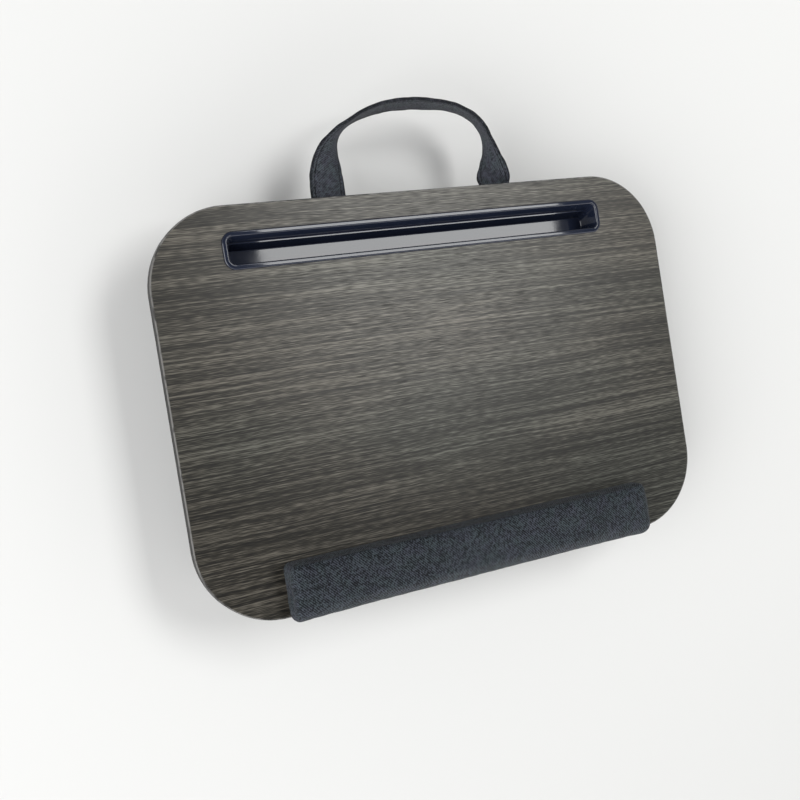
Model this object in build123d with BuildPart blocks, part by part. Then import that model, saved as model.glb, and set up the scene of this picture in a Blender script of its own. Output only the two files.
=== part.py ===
from build123d import *
import os
from math import asin, atan2, cos, pi, sin

# Lap tray with a cushion: a woodgrain board with a moulded device slot, an upholstered
# wrist rest, a twisted strap handle at the rear edge and a filled cushion underneath.
# Millimetres. X runs along the board to the right, Y to the rear edge with the handle,
# Z up. The origin is the centre of the cushion's flat underside.

# Board
board_width = 437.0
board_depth = 300.0
board_corner_radius = 60.0
core_thickness = 9.0
laminate_thickness = 0.5
edge_band_thickness = 1.0
edge_band_rounding = 0.7

# Moulded slot tray near the rear edge
slot_end_margin = 55.5
slot_rim_width = 28.0
slot_rim_radius = 8.5
slot_rim_band = 4.0
slot_rim_height = 1.6
slot_rim_rounding = 1.3
slot_setback = 19.3
slot_depth = 20.0
slot_wall = 2.0
slot_ledge_depth = 9.0
slot_ledge_width = 0.8
slot_upper_lean = 3.3
slot_lower_lean = 3.3
slot_draft = 1.0
slot_floor_rounding = 1.0
slot_clearance = 0.5
slot_hook_length = 14.0
slot_hook_reach = 1.2
slot_hook_thickness = 1.6
slot_hook_count = 3
slot_hook_gap = 0.05

# Wrist rest along the front edge
rest_length = 314.0
rest_width = 43.5
rest_height = 22.0
rest_overhang = 3.5
rest_corner_radius = 8.0
rest_belly_height = 10.0
rest_top_draw_in = 10.0
rest_base_draw_in = 2.0
rest_cover_thickness = 0.8
rest_hem_width = 9.0
rest_strip_thickness = 4.0
rest_strip_inset = 4.0
rest_screw_count = 4
rest_screw_end_margin = 31.0
rest_screw_grip = 3.2

# Strap handle
strap_width = 28.0
strap_thickness = 3.0
strap_spacing = 145.0
strap_reach = 71.8
strap_foot_run = 45.0
strap_top_run = 60.0
strap_twist_run = 70.0
strap_hinge_setback = 3.0
strap_hinge_gap = 0.3
strap_tab_margin = 1.0
strap_plate_length = 34.0
strap_plate_depth = 12.0
strap_plate_thickness = 1.5
strap_plate_radius = 3.0
strap_plate_setback = 2.0
strap_screw_spacing = 16.0
strap_screw_grip = 6.5
strap_head_height = 2.0

# Screws
screw_radius = 1.6
screw_head_radius = 3.4
screw_head_cone = 2.2
screw_recess_width = 0.9
screw_recess_length = 3.6
screw_recess_depth = 1.1
screw_fit = 0.05

# Cushion
cushion_height = 49.0
cushion_inset = 14.0
cushion_belly_height = 24.0
cushion_base_draw_in = 24.0
cushion_top_draw_in = 4.0
cushion_cover_thickness = 1.2
cushion_seam_height = 8.0
cushion_flat_cut = 0.5
cushion_slab_thickness = 13.0
cushion_slot_gap = 2.0
cushion_slot_radius = 5.0
piping_radius = 2.0
piping_gap = 0.3
soft_gap = 0.2
face_tolerance = 0.05
pad_thickness = 1.0
pad_length = 70.0
pad_width = 24.0
pad_rows = 2
pad_columns = 3
pad_centre_y = -19.0

# Shares and counts for the curved forms
strap_station_count = 16
least_corner_share = 0.35
cushion_base_turn_shares = (1.0, 0.78, 0.52, 0.26, 0.0)
cushion_top_turn_shares = (0.35, 0.7, 1.0)
rest_base_turn_shares = (1.0, 0.5, 0.0)
rest_top_turn_shares = (0.25, 0.5, 0.72, 0.88, 1.0)
pad_spacing_x_share = 0.34
pad_spacing_y_share = 0.37

# Heights and places that follow from the sizes above
board_bottom = cushion_height + pad_thickness
core_bottom = board_bottom + laminate_thickness
core_top = core_bottom + core_thickness
board_top = core_top + laminate_thickness
board_thickness = board_top - board_bottom
board_rear = board_depth / 2
core_width = board_width - 2 * edge_band_thickness
core_depth = board_depth - 2 * edge_band_thickness
core_corner_radius = board_corner_radius - edge_band_thickness

slot_centre_y = board_rear - slot_setback - slot_rim_width / 2
slot_rim_length = board_width - 2 * slot_end_margin
slot_length = slot_rim_length - 2 * slot_rim_band
slot_width = slot_rim_width - 2 * slot_rim_band
slot_corner_radius = slot_rim_radius - slot_rim_band
slot_front = slot_centre_y - slot_width / 2
slot_rear = slot_centre_y + slot_width / 2
slot_bottom = board_top - slot_depth - slot_wall
slot_hook_spacing = slot_length / slot_hook_count

rest_centre_y = rest_width / 2 - board_rear - rest_overhang
rest_screw_spacing = (rest_length - 2 * rest_screw_end_margin) / (rest_screw_count - 1)
strap_z = board_bottom - strap_thickness / 2
hinge_y = board_rear + strap_hinge_setback
strap_top_y = board_rear + strap_reach
foot_x = strap_spacing / 2
plate_top = board_bottom - strap_thickness
plate_centre_y = board_rear - strap_plate_setback - strap_plate_depth / 2
tab_front = plate_centre_y - strap_plate_depth / 2 - strap_tab_margin
tab_rear = hinge_y - strap_thickness / 2 - strap_hinge_gap

cushion_width = board_width - 2 * cushion_inset
cushion_depth = board_depth - 2 * cushion_inset
cushion_corner_radius = board_corner_radius - cushion_inset
slab_bottom = cushion_height - cushion_cover_thickness - cushion_slab_thickness
pad_spacing_x = cushion_width * pad_spacing_x_share
pad_spacing_y = cushion_depth * pad_spacing_y_share


def rounded_levels(height, belly_height, base_draw_in, top_draw_in, base_shares, top_shares):
    """Heights and insets of a soft form whose sides curve in above and below the belly."""
    levels = []
    for share in base_shares:
        turn = share * pi / 2
        levels.append((belly_height * (1 - sin(turn)), base_draw_in * (1 - cos(turn))))
    for share in top_shares:
        turn = share * pi / 2
        rise = (height - belly_height) * sin(turn)
        levels.append((belly_height + rise, top_draw_in * (1 - cos(turn))))
    return levels


rest_levels = rounded_levels(
    rest_height, rest_belly_height, rest_base_draw_in, rest_top_draw_in,
    rest_base_turn_shares, rest_top_turn_shares,
)
cushion_levels = rounded_levels(
    cushion_height, cushion_belly_height, cushion_base_draw_in, cushion_top_draw_in,
    cushion_base_turn_shares, cushion_top_turn_shares,
)


def rounded_outline(length, width, corner, inset):
    """Add a rounded rectangle drawn in by inset to the sketch that is open."""
    radius = max(corner - inset, corner * least_corner_share)
    RectangleRounded(length - 2 * inset, width - 2 * inset, radius)


def rest_form(skin, mode=Mode.ADD):
    """Loft the wrist rest's form, drawn in by skin all over, in the part that is open."""
    squeeze = (rest_height - 2 * skin) / rest_height
    sections = []
    for height, inset in rest_levels:
        level = board_top + skin + height * squeeze
        with BuildSketch(Plane.XY.offset(level)) as section:
            with Locations((0, rest_centre_y)):
                rounded_outline(rest_length, rest_width, rest_corner_radius, inset + skin)
        sections.append(section.sketch)
    loft(sections, mode=mode)


def cushion_form(skin, bottom, top, mode=Mode.ADD):
    """Loft the cushion's form between two heights, its sides drawn in by skin."""
    squeeze = (top - bottom) / cushion_height
    sections = []
    for height, inset in cushion_levels:
        with BuildSketch(Plane.XY.offset(bottom + height * squeeze)) as section:
            rounded_outline(cushion_width, cushion_depth, cushion_corner_radius, inset + skin)
        sections.append(section.sketch)
    loft(sections, mode=mode)


def row_along_x(centre_y, spacing, count):
    """Places of an evenly spaced row along X."""
    return [(spacing * (i - (count - 1) / 2), centre_y) for i in range(count)]


rest_screw_places = row_along_x(rest_centre_y, rest_screw_spacing, rest_screw_count)
strap_screw_places = [
    (side * foot_x + hand * strap_screw_spacing / 2, plate_centre_y)
    for side in (-1, 1)
    for hand in (-1, 1)
]


def shanks(places, bottom, top, radius, mode=Mode.ADD):
    """Add or cut upright round rods at the places given."""
    with BuildSketch(Plane.XY.offset(bottom)) as rods:
        with Locations(*places):
            Circle(radius)
    extrude(rods.sketch, amount=top - bottom, mode=mode)


def countersinks(places, bottom, play, mode=Mode.ADD):
    """Add or cut the cones of countersunk heads whose wide end is at bottom."""
    cone_middle = bottom + screw_head_cone / 2
    with Locations(*[(x, y, cone_middle) for x, y in places]):
        Cone(screw_head_radius + play, screw_radius + play, screw_head_cone, mode=mode)


def cross_recesses(places, bottom):
    """Cut a cross for the driver into the heads whose outer face is at bottom."""
    with BuildSketch(Plane.XY.offset(bottom)) as crosses:
        with Locations(*places):
            Rectangle(screw_recess_length, screw_recess_width)
            Rectangle(screw_recess_width, screw_recess_length)
    extrude(crosses.sketch, amount=screw_recess_depth, mode=Mode.SUBTRACT)


def cut_board_screw_holes():
    """Cut the screw holes that pass through or into the board's layers."""
    shanks(rest_screw_places, board_bottom, board_top, screw_radius + screw_fit, Mode.SUBTRACT)
    countersinks(rest_screw_places, board_bottom, screw_fit, Mode.SUBTRACT)
    strap_screw_top = board_bottom + strap_screw_grip + screw_fit
    shanks(strap_screw_places, board_bottom, strap_screw_top, screw_radius + screw_fit, Mode.SUBTRACT)


def board_layer(bottom, thickness):
    """Extrude one layer of the board with its cut-out for the slot tray."""
    play = slot_wall + slot_clearance
    with BuildSketch(Plane.XY.offset(bottom)) as outline:
        RectangleRounded(core_width, core_depth, core_corner_radius)
        with Locations((0, slot_centre_y)):
            RectangleRounded(
                slot_length + 2 * play, slot_width + 2 * play, slot_corner_radius + play,
                mode=Mode.SUBTRACT,
            )
    extrude(outline.sketch, amount=thickness)


def slot_section(depth, lean, draft, skin):
    """Return the slot's outline at a depth, with its rear side leaned in."""
    front = slot_front + draft - skin
    rear = slot_rear - lean + skin
    with BuildSketch(Plane.XY.offset(board_top - depth)) as section:
        with Locations((0, (front + rear) / 2)):
            RectangleRounded(
                slot_length - 2 * draft + 2 * skin, rear - front, slot_corner_radius + skin
            )
    return section.sketch


# Board core with the slot's cut-out and the screw holes
with BuildPart() as board_core:
    board_layer(core_bottom, core_thickness)
    cut_board_screw_holes()
board_core.part.label = "board_core"

# Woodgrain laminate on the top face
with BuildPart() as board_top_laminate:
    board_layer(core_top, laminate_thickness)
    cut_board_screw_holes()
board_top_laminate.part.label = "board_top_laminate"

# Plain balancing laminate on the underside
with BuildPart() as board_back_laminate:
    board_layer(board_bottom, laminate_thickness)
    cut_board_screw_holes()
board_back_laminate.part.label = "board_back_laminate"

# Edge band round the whole board, its two outer edges rounded
with BuildPart() as board_edge_band:
    with BuildSketch(Plane.XY.offset(board_bottom)):
        RectangleRounded(board_width, board_depth, board_corner_radius)
    extrude(amount=board_thickness)
    rims = board_edge_band.faces().filter_by(Axis.Z).edges()
    fillet(rims, edge_band_rounding)
    with BuildSketch(Plane.XY.offset(board_bottom)):
        RectangleRounded(core_width, core_depth, core_corner_radius)
    extrude(amount=board_thickness, mode=Mode.SUBTRACT)
board_edge_band.part.label = "board_edge_band"

# Slot tray: raised rounded rim, trough with a stepped and leaned rear wall, snap hooks
with BuildPart() as slot_tray:
    with BuildSketch(Plane.XY.offset(board_top)):
        with Locations((0, slot_centre_y)):
            RectangleRounded(slot_rim_length, slot_rim_width, slot_rim_radius)
            RectangleRounded(slot_length, slot_width, slot_corner_radius, mode=Mode.SUBTRACT)
    extrude(amount=slot_rim_height)
    fillet(slot_tray.faces().sort_by(Axis.Z)[-1].edges(), slot_rim_rounding)
    whole_lean = slot_upper_lean + slot_ledge_width + slot_lower_lean
    trough_top = slot_section(0, 0, 0, slot_wall)
    trough_bottom = slot_section(slot_depth + slot_wall, whole_lean, slot_draft, slot_wall)
    loft([trough_top, trough_bottom])
    hook_top = board_bottom - slot_hook_gap
    hook_front = slot_front - slot_wall - slot_clearance - slot_hook_reach
    end_reach = slot_length / 2 + slot_wall + slot_clearance + slot_hook_reach
    with BuildSketch(Plane.XY.offset(hook_top - slot_hook_thickness)):
        front_middle = (hook_front + slot_centre_y) / 2
        with Locations(*row_along_x(front_middle, slot_hook_spacing, slot_hook_count)):
            Rectangle(slot_hook_length, slot_centre_y - hook_front)
        hook_width = slot_width / 2
        with Locations((0, slot_centre_y - hook_width / 2)):
            Rectangle(2 * end_reach, hook_width)
    extrude(amount=slot_hook_thickness)
    mouth = slot_section(0, 0, 0, 0)
    ledge_outer = slot_section(slot_ledge_depth, slot_upper_lean, slot_draft / 2, 0)
    loft([mouth, ledge_outer], mode=Mode.SUBTRACT)
    ledge_lean = slot_upper_lean + slot_ledge_width
    ledge_inner = slot_section(slot_ledge_depth, ledge_lean, slot_draft / 2, 0)
    trough_floor = slot_section(slot_depth, whole_lean, slot_draft, 0)
    loft([ledge_inner, trough_floor], mode=Mode.SUBTRACT)
    floor_z = board_top - slot_depth
    floor_face = slot_tray.faces().filter_by_position(
        Axis.Z, floor_z - face_tolerance, floor_z + face_tolerance
    )
    fillet(floor_face.edges(), slot_floor_rounding)
slot_tray.part.label = "slot_tray"

# Wrist rest: a fixing strip, a foam pad on it, and a cover turned under the strip
strip_bottom = board_top + rest_cover_thickness
strip_top = strip_bottom + rest_strip_thickness
with BuildPart() as wrist_rest_strip:
    with BuildSketch(Plane.XY.offset(strip_bottom)):
        with Locations((0, rest_centre_y)):
            rounded_outline(rest_length, rest_width, rest_corner_radius, rest_strip_inset)
    extrude(amount=rest_strip_thickness)
    pilot_top = strip_bottom + rest_screw_grip + screw_fit
    shanks(rest_screw_places, strip_bottom, pilot_top, screw_radius + screw_fit, Mode.SUBTRACT)
wrist_rest_strip.part.label = "wrist_rest_strip"

with BuildPart() as wrist_rest_foam:
    rest_form(rest_cover_thickness + soft_gap)
    split(bisect_by=Plane.XY.offset(strip_top), keep=Keep.TOP)
wrist_rest_foam.part.label = "wrist_rest_foam"

with BuildPart() as wrist_rest_cover:
    rest_form(0)
    rest_form(rest_cover_thickness, Mode.SUBTRACT)
    with BuildSketch(Plane.XY.offset(board_top)):
        with Locations((0, rest_centre_y)):
            rounded_outline(rest_length, rest_width, rest_corner_radius, rest_hem_width)
    extrude(amount=strip_top - board_top, mode=Mode.SUBTRACT)
wrist_rest_cover.part.label = "wrist_rest_cover"

# Countersunk screws from the board's underside into the wrist rest's strip
with BuildPart() as wrist_rest_screws:
    shanks(rest_screw_places, board_bottom, strip_bottom + rest_screw_grip, screw_radius)
    countersinks(rest_screw_places, board_bottom, 0)
    cross_recesses(rest_screw_places, board_bottom)
wrist_rest_screws.part.label = "wrist_rest_screws"

# Strap handle: one loop, flat at the board and a quarter turn upright at the arch's top
with BuildLine():
    left_half = Bezier(
        (-foot_x, hinge_y), (-foot_x, hinge_y + strap_foot_run),
        (-strap_top_run, strap_top_y), (0, strap_top_y),
    )
    right_half = Bezier(
        (0, strap_top_y), (strap_top_run, strap_top_y),
        (foot_x, hinge_y + strap_foot_run), (foot_x, hinge_y),
    )
arch_length = left_half.length + right_half.length


def strap_plane(half, share, run):
    """Plane square to the strap, with its X axis across the strap's width."""
    centre = half @ share
    along = half % share
    outward = Vector(-along.Y, along.X, 0)
    part_turned = min(min(run, arch_length - run) / strap_twist_run, 1)
    turn = pi / 2 * part_turned**2 * (3 - 2 * part_turned)
    across = outward * cos(turn) + Vector(0, 0, sin(turn))
    return Plane(origin=(centre.X, centre.Y, strap_z), x_dir=across, z_dir=along)


strap_planes = [
    strap_plane(left_half, i / strap_station_count, left_half.length * i / strap_station_count)
    for i in range(strap_station_count + 1)
]
strap_planes += [
    strap_plane(
        right_half, i / strap_station_count,
        left_half.length + right_half.length * i / strap_station_count,
    )
    for i in range(1, strap_station_count + 1)
]

with BuildPart() as strap_loop:
    for plane in strap_planes:
        with BuildSketch(plane):
            Rectangle(strap_width, strap_thickness)
    loft(ruled=True)
    for side in (-1, 1):
        with BuildSketch(Plane.YZ.offset(side * foot_x - strap_width / 2)):
            with Locations((hinge_y, strap_z)):
                Circle(strap_thickness / 2)
                Rectangle(
                    strap_thickness, strap_thickness,
                    align=(Align.MIN, Align.CENTER), mode=Mode.SUBTRACT,
                )
        extrude(amount=strap_width)
strap_loop.part.label = "strap_loop"

# Strap ends, plates and screws under the board, left then right
strap_tabs = []
strap_plates = []
for side, name in ((-1, "left"), (1, "right")):
    with BuildPart() as strap_tab:
        with BuildSketch(Plane.XY.offset(plate_top)):
            with Locations((side * foot_x, (tab_front + tab_rear) / 2)):
                Rectangle(strap_width, tab_rear - tab_front)
        extrude(amount=strap_thickness)
        shanks(strap_screw_places, plate_top, board_bottom, screw_radius + screw_fit, Mode.SUBTRACT)
    strap_tab.part.label = f"strap_tab_{name}"
    strap_tabs.append(strap_tab)

    with BuildPart() as strap_plate:
        with BuildSketch(Plane.XY.offset(plate_top - strap_plate_thickness)):
            with Locations((side * foot_x, plate_centre_y)):
                RectangleRounded(strap_plate_length, strap_plate_depth, strap_plate_radius)
        extrude(amount=strap_plate_thickness)
        plate_bottom = plate_top - strap_plate_thickness
        shanks(strap_screw_places, plate_bottom, plate_top, screw_radius + screw_fit, Mode.SUBTRACT)
    strap_plate.part.label = f"strap_plate_{name}"
    strap_plates.append(strap_plate)

with BuildPart() as strap_screws:
    head_bottom = plate_top - strap_plate_thickness - strap_head_height
    shanks(strap_screw_places, head_bottom, head_bottom + strap_head_height, screw_head_radius)
    shanks(strap_screw_places, head_bottom, board_bottom + strap_screw_grip, screw_radius)
    cross_recesses(strap_screw_places, head_bottom)
strap_screws.part.label = "strap_screws"

# Cushion cover: a side band, a dished bottom panel and a flat top panel
with BuildPart() as cushion_side_band:
    cushion_form(0, -cushion_flat_cut, cushion_height)
    cushion_form(
        cushion_cover_thickness, cushion_cover_thickness, cushion_height, Mode.SUBTRACT
    )
    split(bisect_by=Plane.XY.offset(cushion_seam_height), keep=Keep.TOP)
cushion_side_band.part.label = "cushion_side_band"

with BuildPart() as cushion_bottom_panel:
    cushion_form(0, -cushion_flat_cut, cushion_height)
    split(bisect_by=Plane.XY, keep=Keep.TOP)
    cushion_form(
        cushion_cover_thickness, cushion_cover_thickness, cushion_height, Mode.SUBTRACT
    )
    split(bisect_by=Plane.XY.offset(cushion_seam_height), keep=Keep.BOTTOM)
cushion_bottom_panel.part.label = "cushion_bottom_panel"


def slot_recess(bottom, height):
    """Cut the space that clears the slot tray and its hooks."""
    recess_front = slot_front - slot_wall - slot_clearance - slot_hook_reach - cushion_slot_gap / 2
    recess_rear = slot_rear - slot_upper_lean + slot_wall + cushion_slot_gap / 2
    with BuildSketch(Plane.XY.offset(bottom)) as recess:
        with Locations((0, (recess_front + recess_rear) / 2)):
            RectangleRounded(
                2 * end_reach + cushion_slot_gap, recess_rear - recess_front, cushion_slot_radius
            )
    extrude(recess.sketch, amount=height, mode=Mode.SUBTRACT)


top_panel_inset = cushion_top_draw_in + cushion_cover_thickness + soft_gap
with BuildPart() as cushion_top_panel:
    with BuildSketch(Plane.XY.offset(cushion_height - cushion_cover_thickness)):
        rounded_outline(cushion_width, cushion_depth, cushion_corner_radius, top_panel_inset)
    extrude(amount=cushion_cover_thickness)
    slot_recess(cushion_height - cushion_cover_thickness, cushion_cover_thickness)
cushion_top_panel.part.label = "cushion_top_panel"

# Piping along the lower seam
cushion_squeeze = (cushion_height + cushion_flat_cut) / cushion_height
seam_level = (cushion_seam_height + cushion_flat_cut) / cushion_squeeze
seam_turn = asin(1 - seam_level / cushion_belly_height)
seam_inset = cushion_base_draw_in * (1 - cos(seam_turn))
seam_slope = atan2(cushion_base_draw_in * sin(seam_turn), cushion_belly_height * cos(seam_turn))
piping_inset = seam_inset - (piping_radius + piping_gap) / cos(seam_slope)
with BuildSketch(Plane.XY.offset(cushion_seam_height)) as piping_outline:
    rounded_outline(cushion_width, cushion_depth, cushion_corner_radius, piping_inset)
piping_path = piping_outline.sketch.face().outer_wire()
with BuildPart() as cushion_piping:
    with BuildSketch(Plane(origin=piping_path @ 0, z_dir=piping_path % 0)):
        Circle(piping_radius)
    sweep(path=piping_path)
cushion_piping.part.label = "cushion_piping"

# Filling: a firm foam slab under the top panel and loose filling below it
filling_skin = cushion_cover_thickness + soft_gap
with BuildPart() as cushion_foam_slab:
    cushion_form(filling_skin, filling_skin, cushion_height - cushion_cover_thickness)
    split(bisect_by=Plane.XY.offset(slab_bottom), keep=Keep.TOP)
    recess_bottom = slot_bottom - cushion_slot_gap / 2
    slot_recess(recess_bottom, cushion_height - recess_bottom)
cushion_foam_slab.part.label = "cushion_foam_slab"

with BuildPart() as cushion_filling:
    cushion_form(filling_skin, filling_skin, cushion_height - cushion_cover_thickness)
    split(bisect_by=Plane.XY.offset(slab_bottom), keep=Keep.BOTTOM)
cushion_filling.part.label = "cushion_filling"

# Bonding pads between the cushion and the board
with BuildPart() as cushion_bonding_pads:
    with BuildSketch(Plane.XY.offset(cushion_height)):
        with Locations((0, pad_centre_y)):
            with GridLocations(pad_spacing_x, pad_spacing_y, pad_columns, pad_rows):
                Rectangle(pad_length, pad_width)
    extrude(amount=pad_thickness)
cushion_bonding_pads.part.label = "cushion_bonding_pads"

pieces = [
    board_core, board_top_laminate, board_back_laminate, board_edge_band, slot_tray,
    wrist_rest_strip, wrist_rest_foam, wrist_rest_cover, wrist_rest_screws,
    strap_loop, *strap_tabs, *strap_plates, strap_screws,
    cushion_side_band, cushion_bottom_panel, cushion_top_panel, cushion_piping,
    cushion_foam_slab, cushion_filling, cushion_bonding_pads,
]
os.makedirs("parts", exist_ok=True)
for piece in pieces:
    export_step(piece.part, f"parts/{piece.part.label}.step")
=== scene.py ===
"""Lap tray with a cushion: the finish and the soft pieces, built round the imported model."""

import logging
from collections.abc import Callable, Sequence
from dataclasses import dataclass
from enum import Enum
from math import cos, exp, pi, sin
from typing import TypeAlias

import bmesh
import bpy
import numpy as np
from mathutils import Matrix, Vector, noise

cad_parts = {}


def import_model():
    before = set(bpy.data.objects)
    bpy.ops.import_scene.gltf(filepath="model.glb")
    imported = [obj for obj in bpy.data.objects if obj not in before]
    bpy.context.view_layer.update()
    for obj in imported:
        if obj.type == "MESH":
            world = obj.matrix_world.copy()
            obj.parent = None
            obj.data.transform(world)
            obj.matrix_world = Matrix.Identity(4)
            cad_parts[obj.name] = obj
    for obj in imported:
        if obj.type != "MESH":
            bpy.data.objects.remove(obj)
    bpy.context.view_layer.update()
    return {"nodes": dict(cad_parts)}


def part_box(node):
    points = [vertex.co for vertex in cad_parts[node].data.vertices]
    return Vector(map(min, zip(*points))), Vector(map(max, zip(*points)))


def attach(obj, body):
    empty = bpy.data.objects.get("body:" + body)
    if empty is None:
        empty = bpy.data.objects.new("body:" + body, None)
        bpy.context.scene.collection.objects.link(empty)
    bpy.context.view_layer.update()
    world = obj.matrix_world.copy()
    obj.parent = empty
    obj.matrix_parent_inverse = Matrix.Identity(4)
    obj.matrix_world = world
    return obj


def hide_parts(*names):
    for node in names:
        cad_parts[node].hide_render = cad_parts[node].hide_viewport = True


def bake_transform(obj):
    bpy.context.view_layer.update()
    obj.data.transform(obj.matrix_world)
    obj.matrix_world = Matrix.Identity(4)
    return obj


log = logging.getLogger("lap_tray")
MM = 0.001
TURN = 2 * pi
HAIR = 1e-6
NEAR = 1e-5
CLOTH_ANGLE = 1.2
Span: TypeAlias = tuple[float, float]
Triple: TypeAlias = tuple[float, float, float]
Colour: TypeAlias = Triple
Stops: TypeAlias = tuple[tuple[float, Colour], ...]
Piece: TypeAlias = bpy.types.Object
Material: TypeAlias = bpy.types.Material
Value: TypeAlias = "Signal | float"


class Body(Enum):
    """The two bodies of the tray that a piece can ride on."""

    TRAY = "tray"
    HANDLE = "handle"


class Slot(Enum):
    """The record's material slots that new pieces take their finish from."""

    MELANGE = "melange_fabric"
    STRAP = "strap_fabric"
    LINING = "lining_fabric"
    FOAM = "foam"
    FILLING = "filling"
    PAD_FOAM = "pad_foam"


class Element(Enum):
    """What can be picked on a mesh."""

    POINT = "VERT"
    EDGE = "EDGE"
    FACE = "FACE"


class Chart(Enum):
    """Coordinates that a pattern is laid out on."""

    OBJECT = "Object"
    CLOTH = "UV"
    SKY = "Generated"


class Mixing(Enum):
    """Ways to put two colours together."""

    MIX = "MIX"
    TINT = "MULTIPLY"


@dataclass(frozen=True)
class Layer:
    """A noise: cells per metre, finer octaves, shift, the octaves' strength, and its share in a sum."""

    cells: Triple
    detail: float = 2.0
    offset: float = 0.0
    rough: float = 0.5
    share: float = 1.0


class Signal:
    """A shader value that takes the usual signs of arithmetic."""

    def __init__(self, graph: "Graph", socket: bpy.types.NodeSocket) -> None:
        """Keep the graph that the value belongs to, and its socket."""
        self.graph = graph
        self.socket = socket

    def _maths(self, operation: str, first: Value, second: Value) -> "Signal":
        """Add one Math node."""
        return self.graph.node("ShaderNodeMath", {"operation": operation}, {0: first, 1: second})

    def __add__(self, other: Value) -> "Signal":
        """Sum."""
        return self._maths("ADD", self, other)

    def __radd__(self, other: float) -> "Signal":
        """Sum with the number first."""
        return self._maths("ADD", other, self)

    def __sub__(self, other: Value) -> "Signal":
        """Difference."""
        return self._maths("SUBTRACT", self, other)

    def __rsub__(self, other: float) -> "Signal":
        """Difference with the number first."""
        return self._maths("SUBTRACT", other, self)

    def __mul__(self, other: Value) -> "Signal":
        """Product."""
        return self._maths("MULTIPLY", self, other)

    def __rmul__(self, other: float) -> "Signal":
        """Product with the number first."""
        return self._maths("MULTIPLY", other, self)

    def wave(self) -> "Signal":
        """Sine of the value, which is in turns."""
        return self._maths("SINE", self * TURN, 0.0)

    def size(self) -> "Signal":
        """Value without its sign."""
        return self._maths("ABSOLUTE", self, 0.0)

    def band(self, edges: Span, ends: Span = (0.0, 1.0)) -> "Signal":
        """Ease from one result to another while the value crosses the edges.

        Args:
            edges: where the change starts and ends.
            ends: the result before it and after it.

        Returns:
            The eased value.
        """
        ports = {"From Min": edges[0], "From Max": edges[1], "To Min": ends[0], "To Max": ends[1]}
        settings = {"interpolation_type": "SMOOTHSTEP"}
        return self.graph.node("ShaderNodeMapRange", settings, {"Value": self, **ports})

    def below(self, edges: Span) -> "Signal":
        """1 under the edges and 0 over them."""
        return self.band(edges, (1.0, 0.0))


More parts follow.
